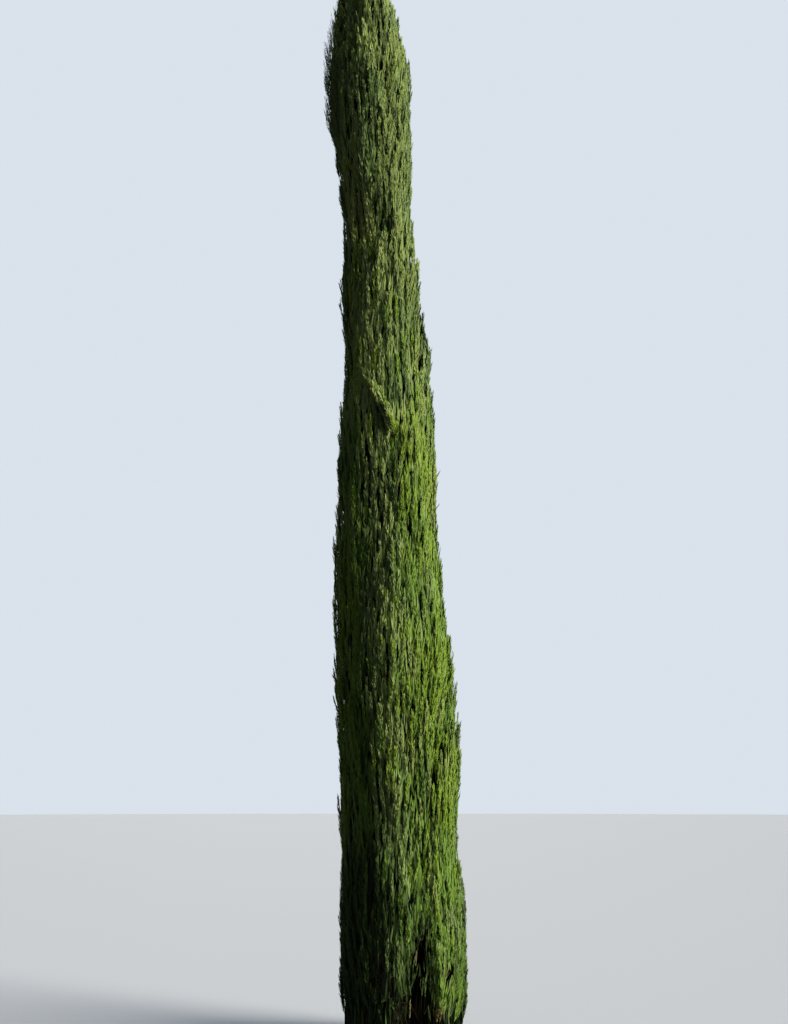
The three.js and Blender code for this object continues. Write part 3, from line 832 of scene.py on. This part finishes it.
def clothe(name, index):
    rng = np.random.default_rng(SEED * 7919 + index)
    p, n, shown, lifted = places[name]
    count = int(round(STRANDS * shown * DENSITY.get(name, 1.0) / total))
    chosen = spread(p, count, 3.2, int(rng.integers(1 << 20)))
    p, n, lifted = p[chosen], n[chosen], lifted[chosen]
    z, axis = lines[name]
    co, tri = solid[name]
    low, high = z[0], z[-1]
    top = co[co[:, 2].argmax()]
    # A few strands always finish the tip.
    few = 44 if name == "loose_plume" else 5
    tips = top + rng.normal(0, 0.012 if few < 9 else 0.02, (few, 3)) * [1, 1, 2.5] - [0, 0, 0.03 if few < 9 else 0.12]
    if name == "loose_plume":  # these close in on the leader as they rise
        rise = np.linspace(0, 1, few) ** 1.2
        tips += UP * (0.34 * rise)[:, None] - round_trunk(top[None])[0] * (0.02 + 0.13 * rise)[:, None]
    p = np.concatenate([p, tips])
    n = np.concatenate([n, unit(tips - (axis[-3] * 0.6 + axis[-2] * 0.4))])
    lifted = np.concatenate([lifted, np.zeros(len(tips), bool)])
    out, angle = round_trunk(p)
    count = len(p)

    length = rng.uniform(STRAND["low"], STRAND["high"], count)
    length *= np.interp(p[:, 2], [0, 1.0, 6.0, 8.6], [0.8, 1.0, 0.85, 0.55])
    length = np.minimum(length, 0.75 * (high - low))
    side = np.cross(out, UP)
    tufts = spread(p, int(shown * TUFT["per_m2"]) + 2, TUFT["stretch"], 7)
    squash = np.array([1, 1, 1 / TUFT["stretch"]])
    mine = (((p[:, None] - p[tufts][None]) * squash) ** 2).sum(2).argmin(1)
    tuft = rng.normal(0, 1, (len(tufts), 4))
    proud = (TUFT["proud"] * np.clip(tuft[:, 0], -1.5, 1.5))[mine]
    to_axis = (p[tufts][mine] - p) * [1, 1, 0]
    # Along the surface where it is steep, straight up where it is not, with the lean of the tuft.
    direction = unit(
        1.6 * UP
        - 0.6 * (n @ UP)[:, None] * n
        + out * (tuft[mine, 1] * 0.02 + rng.normal(-0.012, 0.028, count))[:, None]
        + side * (tuft[mine, 2] * 0.045 + rng.normal(0, 0.065, count))[:, None]
    )
    if name == "leaning_sprig":
        along = unit(axis[-1] - axis[0])
        direction = unit(along + rng.normal(0, 0.07, (count, 3)))
        length[:] = rng.uniform(0.10, 0.18, count)
    tip = p + n * (rng.uniform(-0.010, 0.004, count) + proud)[:, None] + TUFT["gather"] * to_axis
    if name not in ("leader_plume", "leaning_sprig"):
        tip -= out * (0.018 * np.clip((p[:, 2] - high + 0.28) / 0.28, 0, 1))[:, None]
    if name == "leaning_sprig":
        share = np.clip(((p - axis[0]) @ along) / np.linalg.norm(axis[-1] - axis[0]), 0, 1)
        tip = p - n * rng.uniform(0.008, 0.020, (count, 1)) - along * (share * rng.uniform(0.08, 0.13, count))[:, None]
        length *= 0.55 + 0.45 * share
    tip -= out * (0.024 * ease((0.55 - p[:, 2]) / 0.4))[:, None]  # the foot draws in
    tip += out * swell_at(p, angle)[:, None]
    if name == "loose_plume":
        outer = np.clip((n * out).sum(1) * 1.5, 0, 1)
        tip -= out * (FRINGE["recess"] * outer * np.clip((p[:, 2] - 6.35) / 0.3, 0, 1))[:, None]
    depth = rng.uniform(0.07, 0.18, count) * length
    base = tip - direction * length[:, None] - out * depth[:, None]
    if name == "leaning_sprig":
        base = tip - direction * length[:, None]
    for i in np.flatnonzero(depth_in(base) < 0.012):  # a strand never starts in the open
        hit = crown.ray_cast(Vector(base[i]), Vector(-out[i]), 0.35)
        if hit[0] is not None:
            base[i] -= out[i] * min(hit[3] + 0.02, 0.05 if lifted[i] else 1.0)
    short = np.maximum(low + 0.012 - base[:, 2], 0)
    base[:, 2] += short
    tip[:, 2] += np.minimum(short * 0.8, 0.1) * (tip[:, 2] < low + 0.35)
    bend = base + (tip - base) * 0.5 + out * (0.28 * depth)[:, None] - UP * 0.01

    # The twig: from the nearest wood below, up to the strand's foot, and on to its tip.
    nodes = wood_nodes[name]
    gap = base[:, None] - nodes[None]
    cost = np.linalg.norm(gap, axis=2) + 2.5 * np.maximum(nodes[None, :, 2] - base[:, None, 2] + 0.03, 0)
    root = nodes[cost.argmin(1)]
    knee = root + (base - root) * [0.6, 0.6, 0.35]
    t = np.array([0.45, 0.93])
    on = bezier(base, bend, tip, t)
    path = np.concatenate([root[:, None], knee[:, None], base[:, None], on], 1)
    twig = Joined()
    radii = np.array([0.0026, 0.0023, 0.0018, 0.0012, 0.0006])[None] * rng.uniform(0.85, 1.2, (count, 1))
    hollow = hollow_at(base, angle)
    brown = (rng.random((count, 4)) < np.array([1.0, 0.9, 0.0, 0.0])).astype(int)
    # In the open foot most twigs take the darkest twig colour, painted shade.
    brown = np.where(rng.random((count, 1)) < 1.2 * hollow[:, None], 2, brown)
    tubes(twig, path, radii, 3, brown, close=False)

    # Colour numbers, dealt by strand and then by spray, much darker in the open foot as painted shade.
    tone = tone_at(name, p, angle) + 3.0 * hollow + tuft[mine, 3] * 0.35 + rng.normal(0, 0.28, count)

    leaf = Joined()
    # Sprays up the strand, by the golden angle, the last one straight on from its tip.
    m = STRAND["sprays"]
    f = np.linspace(0.22, 0.9, m)[None] + rng.uniform(-0.04, 0.04, (count, m))
    f[:, -1] = 0.9
    at = bezier(base, bend, tip, f)
    slope = bezier_slope(base, bend, tip, f)
    u, v = basis(slope)
    turn = GOLDEN * np.arange(m)[None] + rng.random((count, 1)) * 6.28
    lateral = np.cos(turn)[..., None] * u + np.sin(turn)[..., None] * v
    inward = (lateral * out[:, None]).sum(-1, keepdims=True)
    lateral = unit(lateral - np.where(inward < -0.2, 1.5 * inward, 0) * out[:, None])
    lean = np.radians(rng.uniform(4, 12, (count, m)))
    lean[:, -1] = np.radians(rng.uniform(0, 4, count))
    heading = unit(np.cos(lean)[..., None] * slope + np.sin(lean)[..., None] * lateral)
    spray_length = rng.uniform(SPRAY["low"], SPRAY["high"], (count, m)) * (1.12 - 0.35 * f)
    spray_length *= np.interp(length, [0.1, 0.3], [0.75, 1.0])[:, None]
    # A spray never ends far above the tip of its strand.
    over = np.maximum((at + heading * spray_length[..., None])[..., 2] - tip[:, None, 2] - 0.03, 0)
    spray_length = np.maximum(spray_length - over, 0.04)
    tone_spray = tone[:, None] + rng.normal(0, 0.12, (count, m)) - 0.5 * (f - 0.5)
    look = dried(np.clip(np.round(tone_spray), 0, 6).astype(int), p, angle, rng)
    patch = ease((12 - np.abs(turn_between(angle, DEAD_PATCH["angle"]))) / 6) * ease((DEAD_PATCH["top"] - p[:, 2]) / 0.12)
    dead_share = np.maximum(np.maximum(0.10 * hollow, 0.50 * patch), np.interp(p[:, 2], [0.3, 1.2], [0.006, 0.001]))
    dying = rng.random((count, m)) < dead_share[:, None]
    look = np.where(dying, np.where(rng.random((count, m)) < 0.55, DEAD, STRAW), look)
    hollow = np.maximum(hollow, hollow_at(tip - UP * 0.05, angle))
    bare = rng.random((count, m)) < 0.86 * hollow[:, None]
    keep = ~bare.reshape(-1)
    at, heading = at.reshape(-1, 3)[keep], heading.reshape(-1, 3)[keep]
    spray_length, look = spray_length.reshape(-1)[keep], look.reshape(-1)[keep]
    face = np.repeat(unit(out + 0.7 * n), m, axis=0)[keep]
    grow_sprays(leaf, at, heading, spray_length, look, face, rng)

    # Old foliage on the shaded half of the twig, then on the branches inside.
    k = STRAND["old"]
    share = rng.uniform(0, 1, (count, k))
    lower = root[:, None] + (base - root)[:, None] * np.clip(share * 1.6, 0, 1)[..., None]
    upper = bezier(base, bend, tip, np.clip(share - 0.62, 0, 1))
    at = np.where((share < 0.62)[..., None], lower, upper) - out[:, None] * rng.uniform(0.0, 0.03, (count, k, 1))
    d = unit(rng.normal(0, 0.28, (count, k, 3)) + UP)
    at, d = at.reshape(-1, 3), d.reshape(-1, 3)
    size = OLD["length"] * rng.uniform(0.7, 1.15, len(at)) * np.interp(at[:, 2], [0.3, 1.0], [0.6, 1.0])
    wide = size * OLD["width"] / OLD["length"]
    # Each of the inner ones runs from the nearest wood below to a place inside the plume.
    under, normal, area = scatter(co, tri, 50, rng)
    under, normal, area = scatter(co, tri, int(INNER["per_m2"] * area * (1.7 if "skirt" in name else 1.0)), rng)
    under = under - normal * rng.uniform(0.0, 0.12, (len(under), 1))
    deep = depth_in(under)
    under, deep = under[deep > 0.035], deep[deep > 0.035]
    gap = under[:, None] - nodes[None]
    cost = np.linalg.norm(gap, axis=2) + 2.0 * np.maximum(nodes[None, :, 2] - under[:, None, 2] + 0.06, 0)
    heading = unit(unit(under - nodes[cost.argmin(1)]) + 0.5 * UP)
    fine = np.interp(under[:, 2], [0.3, 1.1], [0.5, 1.0]) * rng.uniform(0.85, 1.15, len(under))
    reach = np.clip(1.9 * deep, 0.10, INNER["longest"]) * fine
    at = np.concatenate([at, under - heading * reach[:, None]])
    d = np.concatenate([d, heading])
    size = np.concatenate([size, reach])
    wide = np.concatenate([wide, np.clip(1.2 * (deep - 0.03), 0.02, INNER["widest"]) * fine])
    keep = inside_crown(at, d, size, wide, 0.014)
    at, d, size, wide = at[keep], d[keep], size[keep], wide[keep]
    # The two darkest greens, shade and old: old foliage's own darker colour, and partly painted shade for the inside of
    # the crown.
    look = np.where(rng.random(len(at)) < 0.45, 7, 6)
    look = np.where(rng.random(len(at)) < 0.12 * ease((0.4 - at[:, 2]) / 0.4), DEAD, look)
    old_sprays(leaf, at, d, size, wide, look, rng)
    undercoat(leaf, name, rng)
    if "skirt" in name:
        brush(leaf, name, rng)
    if name == "loose_plume":
        fringe(leaf, name, rng)
    leaf.build(name + "_foliage", LEAVES, [name])
    twig.build(name + "_twigs", TWIGS)
    return leaf.triangles(), twig.triangles()


def brush(joined, name, rng):
    """Dead growth, and growth in the darkest greens as painted shade, between the ground and the feet of the skirt's
    plumes.
    """
    co, _ = solid[name]
    foot = co[co[:, 2] < 0.4]
    a = math.degrees(math.atan2(*(foot.mean(0)[:2] - trunk_line(0.2)[:2])[::-1]))
    count = BRUSH["count"]
    angle = a + rng.uniform(-24, 24, count)
    open_front = np.abs(turn_between(angle, -74)) < 26
    far = np.linalg.norm(foot[:, :2] - trunk_line(foot[:, 2])[:, :2], axis=1).max()
    radius = np.where(open_front, rng.uniform(0.10, 0.16, count), rng.uniform(0.11, 0.90 * far, count))
    z = rng.uniform(0.006, 0.16, count)
    base = np.stack([radius * np.cos(np.radians(angle)), radius * np.sin(np.radians(angle)), z], -1)
    outer = (radius > 0.75 * far) & ~open_front
    z = np.where(outer, 0.3 * z, z)
    heading = unit(UP + rng.normal(0, 0.15, (count, 3)) * np.where(outer, 0.4, 1.0)[:, None])
    length = rng.uniform(BRUSH["low"], BRUSH["high"], count) * np.where(outer, 1.2, 1.0)
    # Mostly the two darkest greens: painted shade for the growth under the skirts.
    look = np.where(outer, rng.choice([6, 7, 7], count), rng.choice([7, 7, 7, DEAD], count))
    old_sprays(joined, base, heading, length, length * 0.10, look, rng)


def fringe(joined, name, rng):
    """Thin upright sprays all over the outer face of the loose plume, out past the rest."""
    co, tri = solid[name]
    p, n, _ = scatter(co, tri, FRINGE["count"] * 4, rng)
    out, angle = round_trunk(p)
    share = np.clip((n * out).sum(1), 0, 1) * np.clip((7.45 - p[:, 2]) / 0.3, 0, 1) * np.clip((p[:, 2] - 6.08) / 0.15, 0, 1)
    use = np.flatnonzero(rng.random(len(p)) < share)[: FRINGE["count"]]
    p, n, out, angle = p[use], n[use], out[use], angle[use]
    lean = np.radians(rng.uniform(0.3, 1.2, len(p)) * FRINGE["lean"])[:, None]
    heading = unit(np.cos(lean) * UP + np.sin(lean) * out + rng.normal(0, 0.05, p.shape))
    length = rng.uniform(FRINGE["low"], FRINGE["high"], len(p))
    at = p + out * rng.uniform(-0.02, 0.012, (len(p), 1))
    at[:, 0] = np.maximum(at[:, 0], FRINGE["edge"] + np.maximum(-heading[:, 0] * length, 0) + 0.012)
    look = dried(rng.integers(3, 6, len(p)), p, angle, rng)
    grow_sprays(joined, at, heading, length, look, unit(out + n), rng, 0.62)


def undercoat(joined, name, rng):
    """Finer sprays that lie along the plume just under its surface, behind the strands."""
    co, tri = solid[name]
    _, _, area = scatter(co, tri, 10, rng)
    p, n, _ = scatter(co, tri, int(UNDER["per_m2"] * area), rng)
    out, angle = round_trunk(p)
    facing = (n * out).sum(1)
    seen = exposure(name, p, n)
    seen *= rng.random(len(p)) > hollow_at(p, angle)
    inner = ("skirt" in name) & (p[:, 2] < 0.9) & (facing < 0)
    keep = (seen > 0.01) & ((facing > -0.5) | (name == "loose_plume")) | inner
    p, n, out, angle, facing = p[keep], n[keep], out[keep], angle[keep], facing[keep]
    count = len(p)
    heading = unit(UP - 0.7 * (n @ UP)[:, None] * n + rng.normal(0, 0.10, (count, 3)))
    length = rng.uniform(UNDER["low"], UNDER["high"], count)
    width = length * UNDER["width"] * rng.uniform(0.8, 1.15, count)
    deep = rng.uniform(UNDER["near"], UNDER["far"], count)
    if name == "loose_plume":
        deep += FRINGE["recess"] * np.clip(1.5 * facing, 0, 1)
    base = p - n * deep[:, None] - heading * (0.6 * length)[:, None]
    base[:, 2] = np.maximum(base[:, 2], 0.015)
    keep = inside_crown(base, heading, length, width, 0.003)
    base, heading, length, width = base[keep], heading[keep], length[keep], width[keep]
    n, angle, deep, p, facing = n[keep], angle[keep], deep[keep], p[keep], facing[keep]
    if name in lifted_spots:
        spots, away = lifted_spots[name]
        use = rng.random(len(spots)) < 0.8
        spots, away = spots[use], away[use]
        more = len(spots)
        up = unit(UP + rng.normal(0, 0.10, (more, 3)))
        long = rng.uniform(UNDER["low"], UNDER["high"], more) * np.interp(spots[:, 2], [0.3, 1.0], [0.6, 1.0])
        deeper = rng.uniform(0.016, 0.045, more)
        start = spots - away * deeper[:, None] - up * (0.6 * long)[:, None]
        start[:, 2] = np.maximum(start[:, 2], 0.015)
        base, heading, length = (np.concatenate(a) for a in ((base, start), (heading, up), (length, long)))
        width = np.concatenate([width, long * UNDER["width"]])
        n, p, deep = (np.concatenate(a) for a in ((n, away), (p, spots), (deep, deeper)))
        angle, facing = round_trunk(p)[1], np.concatenate([facing, np.ones(more)])
    base = base + round_trunk(p)[0] * swell_at(p, angle)[:, None]
    # Painted shade: the deeper a spray lies under the surface the darker its colour number, and sprays that face in
    # towards the trunk are darker still.
    tone = tone_at(name, p, angle) + 0.25 + 30 * (deep - UNDER["near"]) + rng.normal(0, 0.3, len(p))
    tone += np.where(facing < -0.1, 2.0, 0.0)
    look = dried(np.clip(np.round(tone), 2, 7).astype(int), p, angle, rng)
    old_sprays(joined, base, heading, length, width, look, rng, n)


def grow_sprays(joined, at, heading, length, look, face, rng, fine=1.0):
    """A stem for each spray, and shoots all round it that shorten towards its tip."""
    n, m = len(at), SPRAY["shoots"]
    s = (np.arange(m)[None] + 0.6) / (m + 0.6) + rng.uniform(-0.03, 0.03, (n, m))
    curve = 0.10 * length
    p = at[:, None] + heading[:, None] * (length[:, None] * s)[..., None] + UP * (curve[:, None] * s**2)[..., None]
    slope = unit(heading[:, None] + UP * (0.2 * s)[..., None])
    u, v = basis(slope)
    turn = GOLDEN * np.arange(m)[None] + rng.random((n, 1)) * 6.28
    lateral = np.cos(turn)[..., None] * u + np.sin(turn)[..., None] * v
    lean = np.radians(rng.uniform(11, 24, (n, m)) * (1.1 - 0.6 * s))
    d = unit(np.cos(lean)[..., None] * slope + np.sin(lean)[..., None] * lateral)
    size = SHOOT["length"] * (1.15 - 0.5 * s) * rng.uniform(0.8, 1.2, (n, m)) * np.clip(length / 0.1, 0.6, 1.1)[:, None]
    size, radius = size * fine, fine * SHOOT["radius"] * rng.uniform(0.85, 1.15, (n, m))
    shoots(joined, p.reshape(-1, 3), d.reshape(-1, 3), size.reshape(-1), radius.reshape(-1), np.repeat(look, m), np.repeat(face, m, axis=0), rng)
    shoots(joined, at, unit(heading + UP * 0.1), length * 1.08, np.full(n, fine * SHOOT["radius"] * 0.8), look, face, rng)


leaves = twigs = 0
for index, name in enumerate(MASSES):
    a, b = clothe(name, index)
    leaves, twigs = leaves + a, twigs + b
print(f"leaf triangles {leaves}, twig triangles {twigs}")

# ---------------------------------------------------------------- floor, light and camera

scene = bpy.context.scene
floor = bpy.data.objects.new("floor", bpy.data.meshes.new("floor"))
steps = 96
floor_points = [(0, 0, 0)] + [
    (90 * math.cos(2 * math.pi * i / steps), 90 * math.sin(2 * math.pi * i / steps), 0) for i in range(steps)
]
floor.data.from_pydata(floor_points, [], [(0, i + 1, (i + 1) % steps + 1) for i in range(steps)])
floor.data.materials.append(plain("pale_floor", (0.40, 0.42, 0.45), 0.9))
floor.data.materials[0].node_tree.nodes["Principled BSDF"].inputs["Specular IOR Level"].default_value = 0.1
scene.collection.objects.link(floor)
floor.visible_diffuse = False  # it casts no light of its own back up into the crown

# The room looks pale, and gives only a weak fill beside the key light.
world = bpy.data.worlds.new("pale_room")
scene.world = world
world.use_nodes = True
tree = world.node_tree
fill = tree.nodes["Background"]
fill.inputs["Color"].default_value = (0.71, 0.77, 1.0, 1)
where = tree.nodes.new("ShaderNodeTexCoord")
height = tree.nodes.new("ShaderNodeSeparateXYZ")
tree.links.new(where.outputs["Generated"], height.inputs[0])
above = tree.nodes.new("ShaderNodeMapRange")
above.inputs["From Min"].default_value = -0.15
above.inputs["From Max"].default_value = 0.35
above.inputs["To Min"].default_value = 0.04
above.inputs["To Max"].default_value = 0.19
tree.links.new(height.outputs["Z"], above.inputs["Value"])
tree.links.new(above.outputs["Result"], fill.inputs["Strength"])
seen = tree.nodes.new("ShaderNodeBackground")
seen.inputs["Color"].default_value = (0.70, 0.76, 0.84, 1)
seen.inputs["Strength"].default_value = 1.0
rays = tree.nodes.new("ShaderNodeLightPath")
both = tree.nodes.new("ShaderNodeMixShader")
tree.links.new(rays.outputs["Is Camera Ray"], both.inputs[0])
tree.links.new(fill.outputs[0], both.inputs[1])
tree.links.new(seen.outputs[0], both.inputs[2])
tree.links.new(both.outputs[0], tree.nodes["World Output"].inputs["Surface"])


def sun(name, towards, strength, degrees, colour):
    lamp = bpy.data.lights.new(name, "SUN")
    lamp.energy = strength
    lamp.angle = math.radians(degrees)
    lamp.color = colour
    o = bpy.data.objects.new(name, lamp)
    o.rotation_euler = Vector(towards).to_track_quat("Z", "Y").to_euler()
    scene.collection.objects.link(o)


side, high = math.radians(71), math.radians(27)
sun("key", (math.sin(side) * math.cos(high), -math.cos(side) * math.cos(high), math.sin(high)), 7.4, 42, (1.0, 0.95, 0.83))

sun("back", (-0.06, 0.94, 0.42), 1.9, 40, (0.80, 0.90, 1.0))

camera_data = bpy.data.cameras.new("camera")
camera_data.lens = 50
camera_data.sensor_width = 36
camera_data.sensor_fit = "AUTO"
camera_data.clip_end = 300
camera = bpy.data.objects.new("camera", camera_data)
camera.location = (-0.0663, -9.916, 1.6)
camera.rotation_euler = (math.radians(90 + 11.06), 0, 0)
scene.collection.objects.link(camera)
scene.camera = camera
scene.view_settings.view_transform = "Standard"
scene.view_settings.look = "None"
